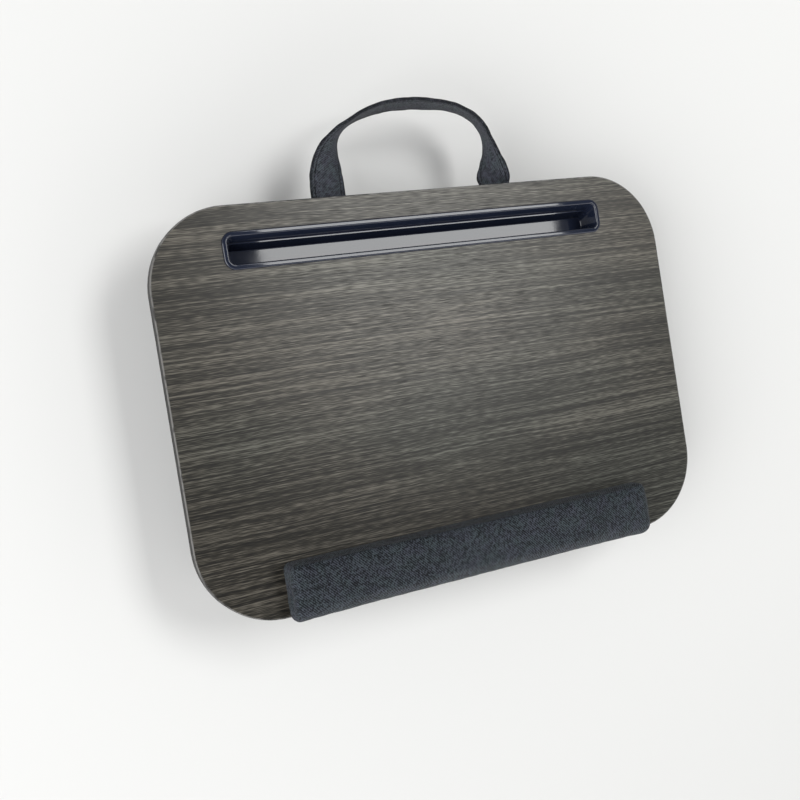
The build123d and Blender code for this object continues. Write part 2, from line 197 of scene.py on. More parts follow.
class Graph:
    """The node tree of a material or a world, filled one node at a time."""

    def __init__(self, owner: Material | bpy.types.World, shader: str, out: str) -> None:
        """Empty the tree, and join a shader node to an output node.

        Args:
            owner: the material or world.
            shader: type of the shader node.
            out: type of the output node.
        """
        owner.use_nodes = True
        self.owner = owner
        self.tree = owner.node_tree
        self.tree.nodes.clear()
        self.shader = self.tree.nodes.new(shader)
        self.tree.links.new(self.shader.outputs[0], self.tree.nodes.new(out).inputs["Surface"])

    def _feed(self, socket: bpy.types.NodeSocket, value: object) -> None:
        """Link a Signal to a socket, or set the socket to a value.

        Args:
            socket: an input.
            value: a Signal, a number or a tuple of numbers.
        """
        if isinstance(value, Signal):
            self.tree.links.new(value.socket, socket)
        else:
            socket.default_value = value

    def _set_stops(self, ramp: bpy.types.ColorRamp, stops: Stops) -> None:
        """Give a ramp its stops.

        Args:
            ramp: a new ramp.
            stops: their places and colours.
        """
        while len(ramp.elements) < len(stops):
            ramp.elements.new(1.0)
        for element, (place, colour) in zip(ramp.elements, stops):
            element.position = place
            element.color = (*colour, 1.0)

    def node(self, kind: str, settings: dict, inputs: dict, output: int | str = 0) -> Signal:
        """Add one node.

        Args:
            kind: the node's type.
            settings: its properties, and a ramp's stops.
            inputs: a value or Signal for each socket, by name or number.
            output: the socket that is handed back.

        Returns:
            The chosen output as a Signal.
        """
        made = self.tree.nodes.new(kind)
        for name, value in settings.items():
            if name == "stops":
                self._set_stops(made.color_ramp, value)
            else:
                setattr(made, name, value)
        for key, value in inputs.items():
            self._feed(made.inputs[key], value)
        return Signal(self, made.outputs[output])

    def ramp(self, value: Signal, stops: Stops) -> Signal:
        """Colour for a value."""
        return self.node("ShaderNodeValToRGB", {"stops": stops}, {"Fac": value}, "Color")

    def place(self, chart: Chart = Chart.OBJECT) -> Signal:
        """Coordinates of the point."""
        return self.node("ShaderNodeTexCoord", {}, {}, chart.value)

    def axes(self, place: Signal) -> tuple[Signal, ...]:
        """Coordinates as three values."""
        split = self.node("ShaderNodeSeparateXYZ", {}, {0: place}).socket.node
        return tuple(Signal(self, part) for part in split.outputs)

    def grain(self, place: Signal, layer: Layer) -> Signal:
        """Noise, about 0.5 in the middle.

        Args:
            place: coordinates to read.
            layer: the noise's form.

        Returns:
            The noise.
        """
        shift = {"Scale": layer.cells, "Location": (layer.offset,) * 3}
        moved = self.node("ShaderNodeMapping", {}, {"Vector": place, **shift})
        ports = {"Scale": 1.0, "Detail": layer.detail, "Roughness": layer.rough}
        return self.node("ShaderNodeTexNoise", {}, {"Vector": moved, **ports}, "Fac")

    def fleck(self, place: Signal, cells: Triple) -> Signal:
        """A value between 0 and 1 for each cell of a flat chart.

        Args:
            place: coordinates to read.
            cells: cells per metre along each axis.

        Returns:
            The cell's value.
        """
        moved = self.node("ShaderNodeMapping", {}, {"Vector": place, "Scale": cells})
        settings = {"voronoi_dimensions": "2D"}
        cell = self.node("ShaderNodeTexVoronoi", settings, {"Vector": moved, "Scale": 1.0}, "Color")
        return self.axes(cell)[0]

    def blend(self, share: Value, first: Signal | Colour, second: Signal | Colour,
              way: Mixing = Mixing.MIX) -> Signal:
        """Put two colours together.

        Args:
            share: how much of the second one is taken.
            first: a colour.
            second: another colour.
            way: how they are put together.

        Returns:
            The new colour.
        """
        paints = [c if isinstance(c, Signal) else (*c, 1.0) for c in (first, second)]
        settings = {"data_type": "RGBA", "blend_type": way.value}
        return self.node("ShaderNodeMix", settings, {0: share, 6: paints[0], 7: paints[1]}, 2)

    def bump(self, height: Signal, depth: float, strength: float) -> Signal:
        """Normal from a height between 0 and 1, depth metres high."""
        ports = {"Height": height, "Distance": depth, "Strength": strength}
        return self.node("ShaderNodeBump", {}, ports, "Normal")

    def finish(self, **inputs: "Signal | float | Colour") -> Material | bpy.types.World:
        """Set the shader node's sockets.

        Args:
            inputs: values by socket name, with _ for each space.

        Returns:
            The tree's owner.
        """
        for name, value in inputs.items():
            full = (*value, 1.0) if isinstance(value, tuple) else value
            self._feed(self.shader.inputs[name.replace("_", " ")], full)
        return self.owner


def surface(name: str) -> Graph:
    """The nodes of a new material, with a Principled surface."""
    return Graph(bpy.data.materials.new(name), "ShaderNodeBsdfPrincipled", "ShaderNodeOutputMaterial")


@dataclass(frozen=True)
class Woodgrain:
    """Printed woodgrain laminate: fibres, short pores and long thin lines along X."""

    name: str = "woodgrain"
    shades: Stops = (
        (0.24, (0.003, 0.0028, 0.0025)), (0.40, (0.013, 0.0123, 0.0102)), (0.50, (0.027, 0.0255, 0.0212)),
        (0.61, (0.056, 0.0535, 0.0465)), (0.78, (0.118, 0.114, 0.101)),
    )
    warm: Colour = (1.05, 0.99, 0.92)
    cool: Colour = (0.925, 0.975, 0.925)
    shine: Colour = (0.99, 0.975, 0.94)
    drift: float = 12 * MM
    lean: Layer = Layer((2.6, 6.0, 1.0), 2.0, 3.0)
    ripple: Layer = Layer((22.0, 60.0, 1.0), 1.0, 8.0, share=0.06)
    cloud: Layer = Layer((6.0, 16.0, 1.0), 3.0, 1.0, share=0.12)
    stripe: Layer = Layer((2.5, 120.0, 1.0), 2.0, 5.0, 0.6, 0.42)
    streak: Layer = Layer((8.0, 1300.0, 1.0), 2.0, 2.0, share=0.80)
    fibre: Layer = Layer((120.0, 1900.0, 1.0), 0.0, 7.0, share=0.66)
    pore: Layer = Layer((60.0, 1500.0, 1.0), 0.0, 4.0, share=0.16)
    vein: Layer = Layer((1.7, 40.0, 1.0), 1.0, 9.0, share=0.14)
    broken: Layer = Layer((9.0, 120.0, 1.0), 2.0, 6.0)
    line: Layer = Layer((3.2, 620.0, 1.0), 0.0, 5.0, share=0.12)
    hue: Layer = Layer((3.5, 7.0, 1.0), 2.0, 12.0)
    base: float = -0.490
    dark_edges: Span = (0.30, 0.44)
    pale_edges: Span = (0.56, 0.70)
    roughness: Span = (0.36, 0.29)

    def make(self) -> Material:
        """Build the material.

        Returns:
            The finish.
        """
        g = surface(self.name)
        here = g.place()
        x, y, z = g.axes(here)
        lean = g.grain(here, self.lean) - 0.5
        ripple = g.grain(here, self.ripple) - 0.5
        bent = y + lean * self.drift + ripple * (self.drift * self.ripple.share)
        along = g.node("ShaderNodeCombineXYZ", {}, {0: x, 1: bent, 2: z})
        streak = g.grain(along, self.streak)
        fibre = g.grain(along, self.fibre)
        pore = g.grain(along, self.pore).below((0.26, 0.44))
        vein = (g.grain(along, self.vein) - 0.5).size().below((0.004, 0.020))
        vein = vein * g.grain(along, self.broken).band((0.38, 0.58))
        line = g.grain(along, self.line)
        lines = line.band(self.pale_edges) - line.below(self.dark_edges)
        tone = g.grain(along, self.cloud) * self.cloud.share
        tone = tone + g.grain(along, self.stripe) * self.stripe.share + streak * self.streak.share
        tone = tone + fibre * self.fibre.share + lines * self.line.share + self.base
        tone = tone + vein * self.vein.share - pore * self.pore.share
        tint = g.blend(g.grain(along, self.hue).band((0.36, 0.64)), self.cool, self.warm)
        gloss = (streak * 0.4 + fibre * 0.6).band((0.35, 0.65), self.roughness) + pore * 0.12
        relief = fibre * 0.4 + streak * 0.3 - pore * 0.3 + vein * 0.3 + 0.5
        return g.finish(
            Base_Color=g.blend(1.0, g.ramp(tone, self.shades), tint, Mixing.TINT), Roughness=gloss,
            Normal=g.bump(relief, 0.08 * MM, 0.32), Specular_IOR_Level=0.46, Specular_Tint=self.shine,
        )


@dataclass(frozen=True)
class Moulding:
    """Plastic or laminate in one colour, with a fine texture."""

    name: str
    colour: Colour
    worn: Colour
    roughness: float
    spread: float = 0.08
    cells: float = 900.0
    depth: float = 0.02 * MM
    specular: float = 0.5
    smear: Layer = Layer((30.0, 38.0, 30.0), 3.0, 2.0)

    def make(self) -> Material:
        """Build the material.

        Returns:
            The finish.
        """
        g = surface(self.name)
        here = g.place()
        smear = g.grain(here, self.smear)
        pebble = g.grain(here, Layer((self.cells,) * 3, 1.0, 5.0))
        half = self.spread / 2
        return g.finish(
            Base_Color=g.blend(smear.band((0.42, 0.75)), self.colour, self.worn),
            Roughness=smear.band((0.3, 0.7), (self.roughness - half, self.roughness + half)),
            Normal=g.bump(pebble, self.depth, 0.5), Specular_IOR_Level=self.specular,
        )


@dataclass(frozen=True)
class Edging:
    """Dark plastic edging with a painted pale highlight along its upper arris."""

    name: str = "edge_band"
    colour: Colour = (0.007, 0.0065, 0.006)
    worn: Colour = (0.014, 0.0135, 0.013)
    painted_arris_highlight: Colour = (0.16, 0.157, 0.15)
    highlight_heights: Span = (58.7 * MM, 59.5 * MM)
    smear: Layer = Layer((30.0, 38.0, 30.0), 3.0, 2.0)
    grit: Layer = Layer((160.0, 160.0, 900.0), 2.0, 6.0)
    pebble: Layer = Layer((1400.0, 1400.0, 1400.0), 1.0, 5.0)

    def make(self) -> Material:
        """Build the material.

        Returns:
            The finish.
        """
        g = surface(self.name)
        here = g.place()
        smear = g.grain(here, self.smear)
        # Painted highlight: a pale line along the band's upper arris, broken into patches, stands in for the
        # glint of a rounded edge.
        patchy = (smear + g.grain(here, self.grit)).band((0.80, 1.10), (0.25, 1.0))
        arris_highlight = g.axes(here)[2].band(self.highlight_heights) * patchy
        plain = g.blend(smear.band((0.42, 0.75)), self.colour, self.worn)
        return g.finish(
            Base_Color=g.blend(arris_highlight, plain, self.painted_arris_highlight), Roughness=smear.band((0.3, 0.7), (0.40, 0.52)),
            Normal=g.bump(g.grain(here, self.pebble), 0.02 * MM, 0.5), Specular_IOR_Level=0.25,
        )


@dataclass(frozen=True)
class Weave:
    """Twill of melange yarns, laid out on the piece's own UV map in metres."""

    name: str
    dark: Colour
    pale: Colour
    pitch: float = 1.0 * MM
    depth: float = 0.4 * MM
    melange: float = 0.62
    hem: float = 0.0
    twill: float = 0.3
    base: float = 0.245
    patch: Layer = Layer((30.0, 30.0, 30.0), 2.0, 11.0)
    hue: Layer = Layer((90.0, 90.0, 1.0), 2.0, 8.0)
    green: Colour = (0.92, 1.0, 0.98)
    violet: Colour = (1.0, 0.95, 1.06)
    soft_edges: Span = (0.30, 0.70)

    def make(self) -> Material:
        """Build the material.

        Returns:
            The finish.
        """
        g = surface(self.name)
        chart = g.place(Chart.CLOTH)
        u, v, _ = g.axes(chart)
        threads = 1 / self.pitch
        ridge = ((u + v) * (threads / 2)).wave() * 0.5 + 0.5
        warp = (v * threads).wave() * 0.5 + 0.5
        weft = (u * threads).wave() * 0.5 + 0.5
        height = ridge * (warp * 0.5 + 0.5) + (1.0 - ridge) * weft * 0.45
        yarn = g.fleck(chart, (threads * 1.25, threads * 0.80, 1.0))
        slub = g.grain(chart, Layer((threads * 0.12, threads * 0.20, 1.0), 2.0, 3.0)).band(self.soft_edges)
        patch = g.grain(g.place(), self.patch).band(self.soft_edges)
        tone = (yarn - 0.5) * self.melange + (ridge - 0.5) * self.twill
        tone = tone + slub * 0.10 + patch * 0.12 + height * 0.20 + self.base
        if self.hem:
            # Painted shade: a dark line in the stitch groove at the hem, and darker cloth along the strap's
            # rolled outer edges.
            seam = (v.size() - self.hem).size().below((0.2 * MM, 1.0 * MM))
            hem_edge_shade = v.size().band((self.hem + 1.6 * MM, self.hem + 2.6 * MM))
            tone = tone - seam * 0.5 - hem_edge_shade * 0.5
        plain = g.blend(tone, self.dark, self.pale)
        tint = g.blend(g.grain(chart, self.hue).band((0.35, 0.65)), self.green, self.violet)
        return g.finish(
            Base_Color=g.blend(1.0, plain, tint, Mixing.TINT),
            Roughness=height.band((0.0, 1.0), (0.97, 0.80)),
            Normal=g.bump(height * 0.7 + yarn * 0.3, self.depth, 0.8),
            Sheen_Weight=0.05, Sheen_Roughness=0.45, Specular_IOR_Level=0.25,
        )


@dataclass(frozen=True)
class Foam:
    """Open-celled foam or loose filling."""

    name: str
    colour: Colour
    shade: Colour
    cells: float = 1400.0
    patch: Layer = Layer((60.0, 60.0, 60.0), 3.0, 2.0)

    def make(self) -> Material:
        """Build the material.

        Returns:
            The finish.
        """
        g = surface(self.name)
        here = g.place()
        cell = g.node("ShaderNodeTexVoronoi", {}, {"Vector": here, "Scale": self.cells}, "Distance")
        share = (cell * 0.7 + g.grain(here, self.patch) * 0.6).band((0.2, 0.95))
        paint = g.blend(share, self.shade, self.colour)
        return g.finish(Base_Color=paint, Roughness=0.95, Normal=g.bump(cell, 0.3 * MM, 0.6))


@dataclass(frozen=True)
class Fibreboard:
    """Pressed wood fibre, seen where the board is cut."""

    name: str = "fibreboard"
    colour: Colour = (0.24, 0.15, 0.08)
    shade: Colour = (0.11, 0.065, 0.035)
    fibre: Layer = Layer((700.0, 900.0, 2600.0), 3.0, 1.0)
    patch: Layer = Layer((40.0, 40.0, 120.0), 2.0, 4.0)

    def make(self) -> Material:
        """Build the material.

        Returns:
            The finish.
        """
        g = surface(self.name)
        here = g.place()
        fibre = g.grain(here, self.fibre)
        share = (fibre * 0.7 + g.grain(here, self.patch) * 0.4).band((0.3, 0.8))
        paint = g.blend(share, self.shade, self.colour)
        return g.finish(Base_Color=paint, Roughness=0.88, Normal=g.bump(fibre, 0.1 * MM, 0.5))


@dataclass(frozen=True)
class PlatedSteel:
    """Zinc plated steel with fine brushing."""

    name: str = "plated_steel"
    colour: Colour = (0.56, 0.57, 0.59)
    tarnish: Colour = (0.38, 0.37, 0.36)
    brush: Layer = Layer((120.0, 3000.0, 3000.0), 2.0, 1.0)
    patch: Layer = Layer((160.0, 160.0, 160.0), 3.0, 5.0)

    def make(self) -> Material:
        """Build the material.

        Returns:
            The finish.
        """
        g = surface(self.name)
        here = g.place()
        brush = g.grain(here, self.brush)
        patch = g.grain(here, self.patch)
        paint = g.blend(patch.band((0.45, 0.8)), self.colour, self.tarnish)
        rough = (brush * 0.5 + patch * 0.5).band((0.3, 0.7), (0.24, 0.42))
        return g.finish(Base_Color=paint, Metallic=1.0, Roughness=rough, Normal=g.bump(brush, 0.02 * MM, 0.4))


@dataclass(frozen=True)
class Outline:
    """A rounded rectangle, and how far round it a point lies."""

    width: float
    depth: float
    corner: float

    def run(self, a: np.ndarray, b: np.ndarray) -> np.ndarray:
        """Distance round the outline, from the start of its +a side, of the nearest point.

        Args:
            a: coordinates across the outline, from its centre.
            b: coordinates along its depth, from its centre.

        Returns:
            The distances, in metres.
        """
        half_a = self.width / 2 - self.corner
        half_b = self.depth / 2 - self.corner
        near_a = np.clip(a, -half_a, half_a)
        near_b = np.clip(b, -half_b, half_b)
        angle = np.mod(np.arctan2(b - near_b, a - near_a) + 1e-9, TURN)
        quarter = np.minimum((angle / (pi / 2) - HAIR).astype(int), 3)
        side = np.where(angle < HAIR, -1, quarter)
        straight = np.choose(
            side + 1,
            [near_b + half_b, 2 * half_b + half_a - near_a, 2 * half_b + 2 * half_a + half_b - near_b,
             4 * half_b + 2 * half_a + near_a + half_a, 4 * half_b + 4 * half_a + near_b + half_b],
        )
        return self.corner * angle + straight

    def length(self) -> float:
        """Whole way round."""
        return 2 * (self.width + self.depth - 4 * self.corner) + TURN * self.corner


class Bench:
    """Shapes one mesh with Blender's own modelling tools, as by hand."""

    def __init__(self, name: str) -> None:
        """Clear the selection, ready for the first primitive.

        Args:
            name: the name of the piece that is made.
        """
        self.name = name
        self.piece: Piece | None = None
        bpy.ops.object.select_all(action="DESELECT")

    def start(self, add: Callable[..., set[str]], size: Triple, place: Triple = (0.0, 0.0, 0.0),
              **settings: int) -> None:
        """Start from a flat or solid primitive, and open it for editing.

        Args:
            add: Blender's tool that adds it.
            size: extent along each axis.
            place: its middle.
            settings: more of the tool's settings.
        """
        add(size=1.0, **settings)
        self.piece = bpy.context.active_object
        self.piece.name = self.name
        self.piece.data.name = self.name
        bpy.ops.object.mode_set(mode="EDIT")
        bpy.ops.mesh.select_all(action="SELECT")
        bpy.ops.transform.resize(value=size, center_override=(0, 0, 0))
        bpy.ops.transform.translate(value=place)

    def stand_up(self, place: Triple) -> None:
        """Turn a flat rectangle so that its width lies along Y and its depth along Z.

        Args:
            place: where its middle goes.
        """
        mesh = bmesh.from_edit_mesh(self.piece.data)
        for vertex in mesh.verts:
            vertex.co = Vector((0.0, vertex.co.x, vertex.co.y))
        bmesh.update_edit_mesh(self.piece.data)
        bpy.ops.transform.translate(value=place)

    def pick(self, kind: Element, test: Callable[[Vector], bool]) -> int:
        """Select the elements whose middle passes the test.

        Args:
            kind: what is selected.
            test: takes the element's middle.

        Returns:
            How many were selected.
        """
        bpy.ops.mesh.select_mode(type=kind.value)
        bpy.ops.mesh.select_all(action="DESELECT")
        mesh = bmesh.from_edit_mesh(self.piece.data)
        if kind is Element.POINT:
            found = [v for v in mesh.verts if test(v.co)]
        elif kind is Element.EDGE:
            found = [e for e in mesh.edges if test((e.verts[0].co + e.verts[1].co) / 2)]
        else:
            found = [f for f in mesh.faces if test(f.calc_center_median())]
        for item in found:
            item.select_set(True)
        mesh.select_flush_mode()
        bmesh.update_edit_mesh(self.piece.data)
        return len(found)

    def pick_level(self, height: float) -> None:
        """Select the edges whose middle is at a height."""
        self.pick(Element.EDGE, lambda p: abs(p.z - height) < HAIR)

    def round_corner(self, test: Callable[[Vector], bool], radius: float, segments: int) -> None:
        """Round the flat outline's corners that pass the test."""
        self.pick(Element.POINT, test)
        bpy.ops.mesh.bevel(offset=radius, offset_type="OFFSET", segments=segments, affect="VERTICES")

    def divide_outline(self, spacing: float) -> None:
        """Divide the outline's long edges evenly, and keep its face.

        Args:
            spacing: about how long the new edges are.
        """
        bpy.ops.mesh.select_mode(type="FACE")
        bpy.ops.mesh.select_all(action="SELECT")
        bpy.ops.mesh.delete(type="ONLY_FACE")
        bpy.ops.mesh.select_mode(type="EDGE")
        mesh = bmesh.from_edit_mesh(self.piece.data)
        lengths = sorted({round(e.calc_length(), 5) for e in mesh.edges if e.calc_length() > 1.5 * spacing})
        for length in lengths:
            bpy.ops.mesh.select_all(action="DESELECT")
            mesh = bmesh.from_edit_mesh(self.piece.data)
            for edge in mesh.edges:
                edge.select_set(abs(edge.calc_length() - length) < 2 * NEAR)
            bmesh.update_edit_mesh(self.piece.data)
            bpy.ops.mesh.subdivide(number_cuts=max(1, round(length / spacing) - 1))
        bpy.ops.mesh.select_all(action="SELECT")
        bpy.ops.mesh.edge_face_add()

    def lift(self, move: Triple, scale: Triple, centre: Triple) -> None:
        """Extrude what is selected by a move, then scale its far end about a point."""
        bpy.ops.mesh.extrude_region_move(TRANSFORM_OT_translate={"value": move})
        bpy.ops.transform.resize(value=scale, center_override=centre)

    def draw_in(self, count: int, step: float, centre: Triple) -> None:
        """Close a cap with shrinking rings, and a pole in the middle.

        Args:
            count: number of rings.
            step: share of the cap by which each is smaller.
            centre: the cap's centre.
        """
        for i in range(count):
            share = 1 - step / (1 - i * step)
            self.lift((0.0, 0.0, 0.0), (share, share, share), centre)
        bpy.ops.mesh.poke()

    def close(self) -> Piece:
        """Merge doubles, turn the faces outwards and leave edit mode.

        Returns:
            The piece.
        """
        bpy.ops.mesh.select_mode(type="VERT")
        bpy.ops.mesh.select_all(action="SELECT")
        bpy.ops.mesh.remove_doubles(threshold=HAIR)
        bpy.ops.mesh.normals_make_consistent(inside=False)
        bpy.ops.object.mode_set(mode="OBJECT")
        return self.piece


def add_piece(name: str, data: bpy.types.ID) -> Piece:
    """Put a mesh, curve, light or camera into the scene.

    Args:
        name: the new object's name.
        data: what it shows.

    Returns:
        The object.
    """
    piece = bpy.data.objects.new(name, data)
    bpy.context.scene.collection.objects.link(piece)
    return piece


def take(*pieces: Piece) -> None:
    """Select these pieces alone.

    Args:
        pieces: the pieces. The first one becomes the active one.
    """
    bpy.ops.object.select_all(action="DESELECT")
    for piece in pieces:
        piece.select_set(True)
    bpy.context.view_layer.objects.active = pieces[0]


def points_of(piece: Piece) -> np.ndarray:
    """Read the vertices of a mesh.

    Args:
        piece: the mesh.

    Returns:
        A row for each vertex.
    """
    flat = np.empty(len(piece.data.vertices) * 3, np.float32)
    piece.data.vertices.foreach_get("co", flat)
    return flat.reshape(-1, 3).astype(float)


def move_points(piece: Piece, points: np.ndarray) -> None:
    """Put the vertices of a mesh where an array says."""
    piece.data.vertices.foreach_set("co", points.astype(np.float32).ravel())
    piece.data.update()


def finish_with(piece: Piece, kind: str, **settings: object) -> None:
    """Add a modifier and apply it.

    Args:
        piece: the mesh.
        kind: the modifier's type.
        settings: its properties.
    """
    take(piece)
    modifier = piece.modifiers.new(kind.lower(), kind)
    for name, value in settings.items():
        setattr(modifier, name, value)
    bpy.ops.object.modifier_apply(modifier=modifier.name)


def join(pieces: Sequence[Piece], name: str) -> Piece:
    """Join pieces into the first one.

    Args:
        pieces: the meshes.
        name: the name of the whole.

    Returns:
        The whole.
    """
    take(*pieces)
    bpy.ops.object.join()
    pieces[0].name = name
    return pieces[0]


def smooth(piece: Piece, angle: float = 0.9) -> None:
    """Shade a piece smooth, except where faces meet at more than the angle."""
    take(piece)
    bpy.ops.object.shade_smooth_by_angle(angle=angle)


def paint(piece: Piece, material: Material) -> None:
    """Give a whole piece one material."""
    piece.data.materials.clear()
    piece.data.materials.append(material)


def lay_flat(spots: np.ndarray, normals: np.ndarray) -> np.ndarray:
    """Chart of a piece that is woven flat: its X and Y."""
    return spots[:, :2].copy()


def weave_chart(piece: Piece, chart: Callable[[np.ndarray, np.ndarray], np.ndarray],
                wrap: float = 0.0) -> None:
    """Give a piece a UV map in metres.

    Args:
        piece: the mesh.
        chart: takes each face corner's point and its face's normal, and gives u and v.
        wrap: length round which u comes back to its start, or 0.
    """
    mesh = piece.data
    while mesh.uv_layers:
        mesh.uv_layers.remove(mesh.uv_layers[0])
    layer = mesh.uv_layers.new(name="weave")
    corner_points = np.empty(len(mesh.loops), int)
    mesh.loops.foreach_get("vertex_index", corner_points)
    starts = np.array([p.loop_start for p in mesh.polygons])
    totals = np.array([p.loop_total for p in mesh.polygons])
    normals = np.array([p.normal for p in mesh.polygons])
    spots = points_of(piece)[corner_points]
    flat = chart(spots, np.repeat(normals, totals, axis=0))
    if wrap:
        first = np.repeat(flat[starts, 0], totals)
        flat[:, 0] -= np.round((flat[:, 0] - first) / wrap) * wrap
    layer.data.foreach_set("uv", flat.astype(np.float32).ravel())


def within(value: float) -> float:
    """Value kept between 0 and 1."""
    return min(max(value, 0.0), 1.0)


def ease(value: float, low: float, high: float) -> float:
    """Smooth step from 0 at low to 1 at high."""
    share = within((value - low) / (high - low))
    return share * share * (3 - 2 * share)


def swell(value: float, low: float, high: float, power: float) -> float:
    """Rise from 0 at low to 1 at high, late if the power is more than 1."""
    share = within((value - low) / (high - low))
    return sin(pi / 2 * share ** power)


@dataclass(frozen=True)
class Plumping:
    """A short cloth simulation: the filling's push, the spare cloth and a point's furthest move."""

    pressure: float
    spare: float
    limit: float
    steps: int = 20

    def fill(self, piece: Piece, held: Callable[[Vector], float]) -> None:
        """Fill a piece, and keep the result.

        Args:
            piece: a closed or pinned mesh.
            held: gives how firmly a point is held, from 0 to 1.
        """
        before = points_of(piece)
        group = piece.vertex_groups.new(name="held")
        for vertex in piece.data.vertices:
            group.add([vertex.index], held(vertex.co), "REPLACE")
        take(piece)
        cloth = piece.modifiers.new("plump", "CLOTH")
        cloth.settings.quality = 6
        cloth.settings.mass = 0.25
        cloth.settings.tension_stiffness = 18
        cloth.settings.compression_stiffness = 12
        cloth.settings.bending_stiffness = 0.6
        cloth.settings.use_pressure = True
        cloth.settings.uniform_pressure_force = self.pressure
        cloth.settings.shrink_min = -self.spare
        cloth.settings.vertex_group_mass = "held"
        cloth.settings.effector_weights.gravity = 0.0
        cloth.collision_settings.use_collision = False
        for step in range(1, self.steps + 1):
            bpy.context.scene.frame_set(step)
        bpy.ops.object.modifier_apply(modifier="plump")
        bpy.context.scene.frame_set(1)
        piece.vertex_groups.clear()
        move = points_of(piece) - before
        far = np.linalg.norm(move, axis=1)
        share = self.limit * np.tanh(far / self.limit) / np.maximum(far, 1e-9)
        move_points(piece, before + move * share[:, None])


def cut_padding(cover: Piece, name: str, gap: float, cuts: Sequence[tuple[int, float, int]]) -> Piece:
    """Cut a filling to a cover's inside, with flat faces where it ends.

    Args:
        cover: the cover's mesh before it has a thickness.
        name: the filling's name.
        gap: how far inside the cover it lies.
        cuts: for each flat face its axis, its place and the side that is kept, 1 or -1.

    Returns:
        The closed filling.
    """
    piece = add_piece(name, cover.data.copy())
    finish_with(piece, "DISPLACE", strength=-gap, mid_level=0.0)
    bpy.ops.object.mode_set(mode="EDIT")
    for axis, place, side in cuts:
        bpy.ops.mesh.select_all(action="SELECT")
        way = Vector([float(side) if i == axis else 0.0 for i in range(3)])
        bpy.ops.mesh.bisect(plane_co=way * place * side, plane_no=way, use_fill=True, clear_inner=True)
    bpy.ops.object.mode_set(mode="OBJECT")
    smooth(piece)
    return piece


@dataclass
class SoftPart:
    """A sub-assembly of soft pieces that ride on the tray, with a finish for each slot."""

    finishes: dict[Slot, Material]

    def dress(self, piece: Piece, slot: Slot, *nodes: str, fill: float = 0.0) -> None:
        """Finish a piece, put it on the tray and hide the CAD nodes that it replaces.

        Args:
            piece: the mesh.
            slot: the record's slot for its finish.
            nodes: the CAD nodes that it replaces.
            fill: not used.
        """
        paint(piece, self.finishes[slot])
        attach(piece, Body.TRAY.value)
        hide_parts(*nodes)


